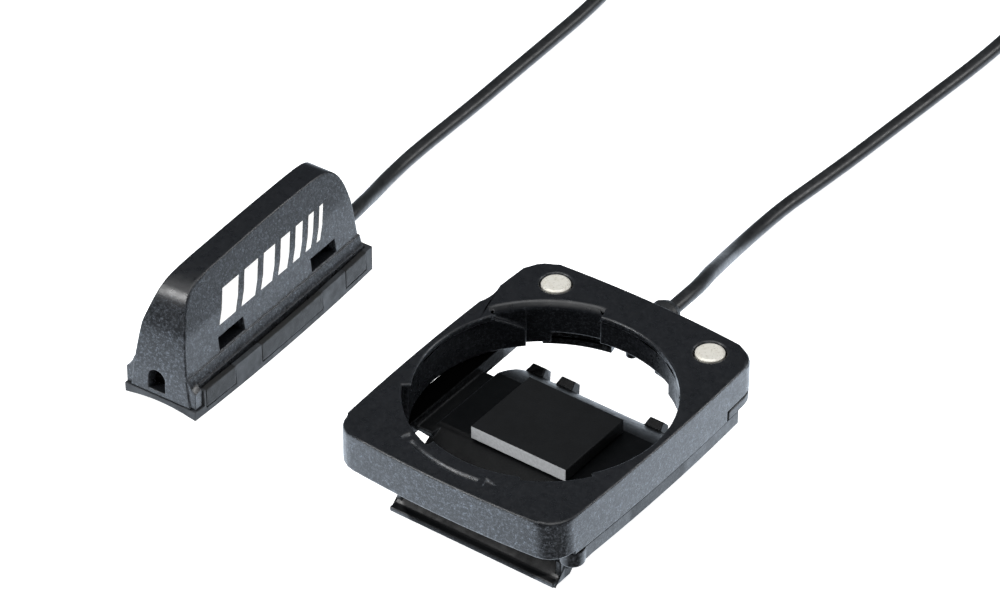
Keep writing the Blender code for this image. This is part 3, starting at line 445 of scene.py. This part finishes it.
def woven(name):
    """A narrow hook-and-loop strap: crossed ribs and a little fuzz."""
    look = Look(name)
    warp = look.add("TexWave", {"bands_direction": "Z"}, Vector=look.place, Scale=700.0, Distortion=1.5)
    weft = look.add("TexWave", {"bands_direction": "DIAGONAL"}, Vector=look.place, Scale=500.0,
                    Distortion=2.0)
    ribs = look.math("MULTIPLY", warp.outputs["Fac"], weft.outputs["Fac"])
    fuzz = look.noise(3000.0, 4.0, 0.7)
    base = look.mix(ribs, (0.010, 0.010, 0.011), (0.045, 0.046, 0.05))
    return look.finish(base, 0.85, look.math("ADD", ribs, fuzz), 0.00008, Sheen_Weight=0.3)


def simple(name, one, two, rough, **values):
    """A small inner piece: two close tones and a fine grain."""
    look = Look(name)
    base = look.mix(look.noise(INNER_GRAIN, 4.0, 0.6), one, two)
    roughness = look.span(look.noise(INNER_GRAIN * 1.7), 0.3, 0.7, rough - 0.06, rough + 0.06)
    return look.finish(base, roughness, look.noise(INNER_GRAIN * 5), 0.000008, **values)


def ink(name):
    """Pad-printed white ink with pinholes where the grain shows, and a little glow to keep it white."""
    look = Look(name)
    holes = look.span(look.cells(4600.0), 0.93, 1.0, 0.0, 0.5)
    base = look.mix(look.noise(700.0, 3.0), (0.80, 0.80, 0.79), (0.90, 0.90, 0.89))
    base = look.mix(holes, base, (0.35, 0.36, 0.37))
    return look.finish(base, 0.5, look.noise(5200.0, 2.0), 0.00001,
                       Emission_Color=(1.0, 1.0, 1.0, 1.0), Emission_Strength=0.3)


def floor_look(name):
    """The white table, with a glow that keeps the background as white as the photo's."""
    look = Look(name)
    base = look.mix(look.noise(3.0, 3.0), (0.95, 0.95, 0.95), (0.97, 0.97, 0.97))
    return look.finish(base, 0.9, Emission_Color=(1.0, 1.0, 1.0, 1.0), Emission_Strength=FLOOR_GLOW)


def dress(material, *nodes):
    """Gives CAD nodes their finished material."""
    for name in nodes:
        mesh = frame["nodes"][name].data
        mesh.materials.clear()
        mesh.materials.append(material)


def dress_all():
    """Every piece gets its finish, as a moulding or on the CAD node itself."""
    frame_black = plastic("moulded_black_grain", dark=(0.0065, 0.0075, 0.009), light=(0.011, 0.012, 0.0145),
                          painted_glint_colour=(0.22, 0.245, 0.28), rough=0.30, grain_depth=0.00002)
    # The frame's plastic painted darker as shade, for the saddle and the rear cover.
    painted_shade_black = plastic("painted_shade_black_grain", dark=(0.0025, 0.003, 0.0035), light=(0.005, 0.0055, 0.006),
                          painted_glint_colour=(0.15, 0.165, 0.185), rough=0.34, grain_depth=0.00002)
    tab_black = plastic("foot_plate_grain", dark=(0.010, 0.0105, 0.011), light=(0.016, 0.0165, 0.017),
                        painted_glint_colour=(0.05, 0.05, 0.05), rough=0.55, grain_depth=0.00003)
    pad_black = rubber("pad_rubber", (0.026, 0.029, 0.033), (0.056, 0.062, 0.070), rough=0.58)
    soft_black = rubber("gland_rubber", (0.008, 0.009, 0.010), (0.018, 0.020, 0.022), rough=0.5)
    nickel = plated("contact_nickel", (0.84, 0.82, 0.75), (0.62, 0.58, 0.48), metallic=0.25, rough=0.5)
    moulding("bracket_frame", frame_black, radius=0.18)
    moulding("sensor_housing", frame_black, radius=0.0)
    moulding("handlebar_saddle", painted_shade_black, radius=0.14)
    moulding("rear_cover", painted_shade_black, radius=0.14)
    moulding("sensor_foot_plate", tab_black, radius=0.0, grow=0.14)
    moulding("sensor_pad", pad_black, radius=0.0, grow=0.14)
    moulding("centre_pad", pad_block("centre_pad_block"), radius=0.12)
    for side in ("left", "right"):
        moulding(f"contact_button_{side}", nickel, radius=0.06)
    dress(rubber("liner_rubber", (0.010, 0.010, 0.011), (0.024, 0.024, 0.026)), "saddle_liner",
          "contact_seal_left", "contact_seal_right")
    dress(soft_black, "bracket_gland", "sensor_gland")
    dress(plated("spring_brass", (0.75, 0.70, 0.52), (0.55, 0.47, 0.28), metallic=0.9, rough=0.35),
          "contact_spring_left", "contact_spring_right", "contact_terminal_left",
          "contact_terminal_right", "reed_blade_near", "reed_blade_far")
    dress(simple("reed_glass_tube", (0.50, 0.66, 0.60), (0.60, 0.74, 0.68), 0.08,
                 Transmission_Weight=0.8, IOR=1.5), "reed_glass")
    dress(simple("carrier_green", (0.03, 0.16, 0.07), (0.05, 0.24, 0.11), 0.45), "reed_carrier")
    dress(simple("insulation_white", (0.68, 0.68, 0.64), (0.80, 0.80, 0.77), 0.45),
          "bracket_wire_left", "sensor_wire_left")
    dress(simple("insulation_red", (0.38, 0.02, 0.02), (0.52, 0.04, 0.03), 0.45),
          "bracket_wire_right", "sensor_wire_right")
    dress(woven("strap_weave"), "coil_tie")


# ---------------------------------------------------------------- sensor stripes

# Millimetres, in the sensor's own frame: along its side and up.
SENSOR_AT = Vector((-33.3, 1.72, 0.0))
SENSOR_TURN = radians(2.0)
SKIRT_BOTTOM = 3.4
SKIRT_HALF_WIDTH = 4.88
LEAN_BELOW_CREASE = 0.13
LEAN_ABOVE_CREASE = 0.27
CREASE = 12.3
PRINT_V = (-12.2, 13.6)
PRINT_H = (10.3, 14.9)
PRINT_LEVELS = (PRINT_H[0], 11.3, CREASE, 13.6, PRINT_H[1])
PRINT_LEAN = 2.2
PRINT_BARS = (3.7, 3.1, 2.6, 2.1, 1.6, 1.2, 0.8)
PRINT_FILM = (0.015, 0.05)


def side_half_width(height):
    """The sensor's half width at a height: nearly upright, then leaning in above the crease."""
    lower = SKIRT_HALF_WIDTH - LEAN_BELOW_CREASE * (min(height, CREASE) - SKIRT_BOTTOM)
    return lower - LEAN_ABOVE_CREASE * max(height - CREASE, 0.0)


def make_stripes(material):
    """A row of slanted stripes, printed on the side that faces the bracket."""
    gap = (PRINT_V[1] - PRINT_V[0] - PRINT_LEAN - sum(PRINT_BARS)) / (len(PRINT_BARS) - 1)
    bm = bmesh.new()
    start = PRINT_V[0]
    for width in PRINT_BARS:
        layers = []
        for film in PRINT_FILM:
            rows = []
            for h in PRINT_LEVELS:
                lean = PRINT_LEAN * (h - PRINT_H[0]) / (PRINT_H[1] - PRINT_H[0])
                u = side_half_width(h) + film
                rows.append([bm.verts.new((u, start + lean + t * width, h)) for t in (0, 0.5, 1)])
            layers.append(rows)
        # the inner and the outer face of the film
        for rows, flip in ((layers[0], True), (layers[1], False)):
            for low, high in zip(rows, rows[1:]):
                for i in range(2):
                    quad = (low[i], low[i + 1], high[i + 1], high[i])
                    bm.faces.new(quad[::-1] if flip else quad)
        # the band round its edge
        rims = []
        for rows in layers:
            rims.append([r[0] for r in rows] + rows[-1][1:] + [r[2] for r in rows[-2::-1]] + [rows[0][1]])
        for i in range(len(rims[0])):
            j = (i + 1) % len(rims[0])
            bm.faces.new((rims[0][i], rims[0][j], rims[1][j], rims[1][i]))
        start += width + gap
    bmesh.ops.recalc_face_normals(bm, faces=bm.faces)
    bmesh.ops.scale(bm, vec=(MM, MM, MM), verts=bm.verts)
    mesh = bpy.data.meshes.new("sensor_stripes")
    bm.to_mesh(mesh)
    bm.free()
    mesh.transform(Matrix.Translation(SENSOR_AT * MM) @ Matrix.Rotation(SENSOR_TURN, 4, "Z"))
    mesh.materials.append(material)
    stripes = bpy.data.objects.new("sensor_stripes", mesh)
    bpy.context.collection.objects.link(stripes)
    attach(stripes, ROOT)


# ---------------------------------------------------------------- studio

FLOOR_HALF = 2.0
FLOOR_GLOW = 0.9
SKY_LEVEL = 0.07
FLOOR_LEVEL = 2.3
HORIZON_FADE = (-0.02, -0.5)
SURROUND_TINT = (0.84, 0.94, 1.06, 1.0)
# The dark gap in the surround: its turn from the camera, its edges and how much light it lets by.
GAP_TURN = radians(17)
GAP_FADE = (cos(radians(82)), cos(radians(48)))
GAP_LEVEL = 0.04
LIGHT_AIM = (0.0, 0.03, 0.0)
# Each soft box: name, place, size and power.
SOFTBOXES = (
    ("key", (-0.75, -0.95, 0.98), (0.5, 0.5), 12.0),
    ("side", (0.86, 0.93, 0.66), (0.35, 0.5), 6.0),
    ("top", (-0.05, -0.1, 1.4), (1.3, 1.3), 15.0))


def make_floor():
    """A wide white table that reflections don't see."""
    bm = bmesh.new()
    bmesh.ops.create_grid(bm, x_segments=1, y_segments=1, size=FLOOR_HALF)
    mesh = bpy.data.meshes.new("floor")
    bm.to_mesh(mesh)
    bm.free()
    mesh.materials.append(floor_look("floor_white"))
    floor = bpy.data.objects.new("floor", mesh)
    bpy.context.collection.objects.link(floor)
    floor.visible_glossy = False


def softbox(name, place, size, power):
    """A rectangular light turned towards the object."""
    data = bpy.data.lights.new(name, "AREA")
    data.shape = "RECTANGLE"
    data.size, data.size_y = size
    data.energy = power
    light = bpy.data.objects.new(name, data)
    bpy.context.collection.objects.link(light)
    light.location = place
    light.rotation_euler = (Vector(place) - Vector(LIGHT_AIM)).to_track_quat("Z", "Y").to_euler()


def make_surround():
    """What the gloss sees: light from below the horizon, a dark gap towards the front, a dim ceiling."""
    world = bpy.data.worlds.new("studio")
    world.use_nodes = True
    tree = world.node_tree
    toward = tree.nodes.new("ShaderNodeTexCoord").outputs["Generated"]
    split = tree.nodes.new("ShaderNodeSeparateXYZ")
    level = tree.nodes.new("ShaderNodeVectorMath")
    level.operation = "MULTIPLY"
    level.inputs[1].default_value = (1.0, 1.0, 0.0)
    unit = tree.nodes.new("ShaderNodeVectorMath")
    unit.operation = "NORMALIZE"
    facing = tree.nodes.new("ShaderNodeVectorMath")
    facing.operation = "DOT_PRODUCT"
    gap_at = CAMERA_AZIMUTH + GAP_TURN
    facing.inputs[1].default_value = (sin(gap_at), -cos(gap_at), 0.0)
    tree.links.new(toward, split.inputs[0])
    tree.links.new(toward, level.inputs[0])
    tree.links.new(level.outputs[0], unit.inputs[0])
    tree.links.new(unit.outputs[0], facing.inputs[0])
    below = tree.nodes.new("ShaderNodeMapRange")
    gap = tree.nodes.new("ShaderNodeMapRange")
    for node, source, *numbers in (
            (below, split.outputs["Z"], *HORIZON_FADE, SKY_LEVEL, FLOOR_LEVEL),
            (gap, facing.outputs["Value"], *GAP_FADE, 1.0, GAP_LEVEL)):
        node.interpolation_type = "SMOOTHSTEP"
        tree.links.new(source, node.inputs["Value"])
        for key, number in zip(("From Min", "From Max", "To Min", "To Max"), numbers):
            node.inputs[key].default_value = number
    strength = tree.nodes.new("ShaderNodeMath")
    strength.operation = "MULTIPLY"
    tree.links.new(below.outputs["Result"], strength.inputs[0])
    tree.links.new(gap.outputs["Result"], strength.inputs[1])
    background = tree.nodes["Background"]
    background.inputs["Color"].default_value = SURROUND_TINT
    tree.links.new(strength.outputs["Value"], background.inputs["Strength"])
    bpy.context.scene.world = world


# ---------------------------------------------------------------- the scene

bpy.context.scene.view_settings.view_transform = "Standard"
make_camera()
make_cable(sheath("cable_satin"))
dress_all()
make_stripes(ink("white_ink"))
make_floor()
make_surround()
for box in SOFTBOXES:
    softbox(*box)
